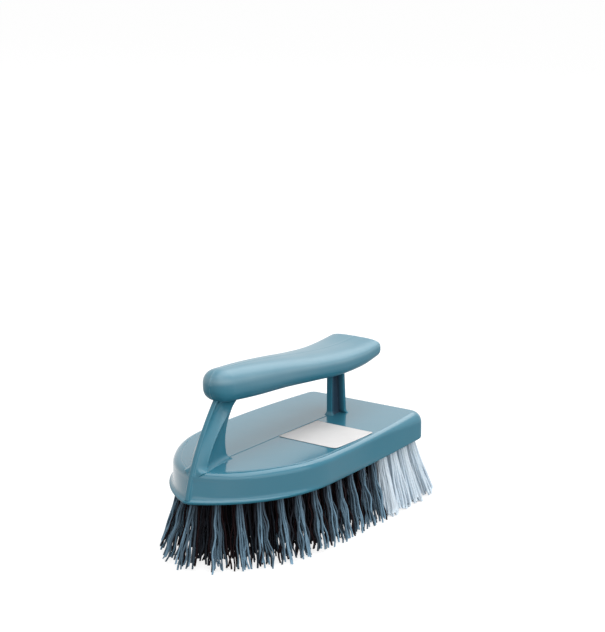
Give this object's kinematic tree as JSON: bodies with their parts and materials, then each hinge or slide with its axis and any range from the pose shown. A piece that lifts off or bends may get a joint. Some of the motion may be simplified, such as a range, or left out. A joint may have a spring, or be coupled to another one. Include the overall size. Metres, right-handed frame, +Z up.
{
  "type": "tile brush",
  "caption": "Hand scrubbing brush with an iron-shaped block, a wave-shaped grip on two posts and splayed tufts of crimped bristles.",
  "frame": {"origin": "middle of the outer box, on the floor that the bristle tips stand on", "axes": "+X from the pointed nose to the straight rear end, +Z up through the grip, +Y towards the side without the label"},
  "size_m": [0.1634, 0.0832, 0.089],
  "materials": {
    "teal_plastic": "moulded polypropylene, satin gloss",
    "teal_bristle": "crimped synthetic bristle",
    "white_bristle": "crimped synthetic bristle, pale and slightly translucent",
    "label_paper": "blank paper-faced sticker"
  },
  "bodies": {
    "root": {"brush_body": "teal_plastic", "paper_label": "label_paper", "tuft_edge_01": "teal_bristle", "tuft_edge_02": "teal_bristle", "tuft_edge_03": "teal_bristle", "tuft_edge_04": "teal_bristle", "tuft_edge_05": "teal_bristle", "tuft_edge_06": "teal_bristle", "tuft_edge_07": "teal_bristle", "tuft_edge_08": "teal_bristle", "tuft_edge_09": "teal_bristle", "tuft_edge_10": "teal_bristle", "tuft_edge_11": "teal_bristle", "tuft_edge_12": "teal_bristle", "tuft_edge_13": "white_bristle", "tuft_edge_14": "white_bristle", "tuft_edge_15": "white_bristle", "tuft_edge_16": "white_bristle", "tuft_edge_17": "white_bristle", "tuft_edge_18": "white_bristle", "tuft_edge_19": "white_bristle", "tuft_edge_20": "white_bristle", "tuft_edge_21": "white_bristle", "tuft_edge_22": "white_bristle", "tuft_edge_23": "white_bristle", "tuft_edge_24": "white_bristle", "tuft_edge_25": "white_bristle", "tuft_edge_26": "teal_bristle", "tuft_edge_27": "teal_bristle", "tuft_edge_28": "teal_bristle", "tuft_edge_29": "teal_bristle", "tuft_edge_30": "teal_bristle", "tuft_edge_31": "teal_bristle", "tuft_edge_32": "teal_bristle", "tuft_edge_33": "teal_bristle", "tuft_edge_34": "teal_bristle", "tuft_edge_35": "teal_bristle", "tuft_edge_36": "teal_bristle", "tuft_inner_01": "teal_bristle", "tuft_inner_02": "teal_bristle", "tuft_inner_03": "teal_bristle", "tuft_inner_04": "teal_bristle", "tuft_inner_05": "teal_bristle", "tuft_inner_06": "white_bristle", "tuft_inner_07": "white_bristle", "tuft_inner_08": "white_bristle", "tuft_inner_09": "white_bristle", "tuft_inner_10": "teal_bristle", "tuft_inner_11": "teal_bristle", "tuft_inner_12": "teal_bristle", "tuft_inner_13": "teal_bristle", "tuft_inner_14": "teal_bristle", "tuft_inner_15": "teal_bristle", "tuft_inner_16": "teal_bristle", "tuft_inner_17": "teal_bristle", "tuft_inner_18": "white_bristle", "tuft_inner_19": "white_bristle", "tuft_inner_20": "teal_bristle", "tuft_inner_21": "teal_bristle", "tuft_inner_22": "teal_bristle"}
  },
  "joints": []
}
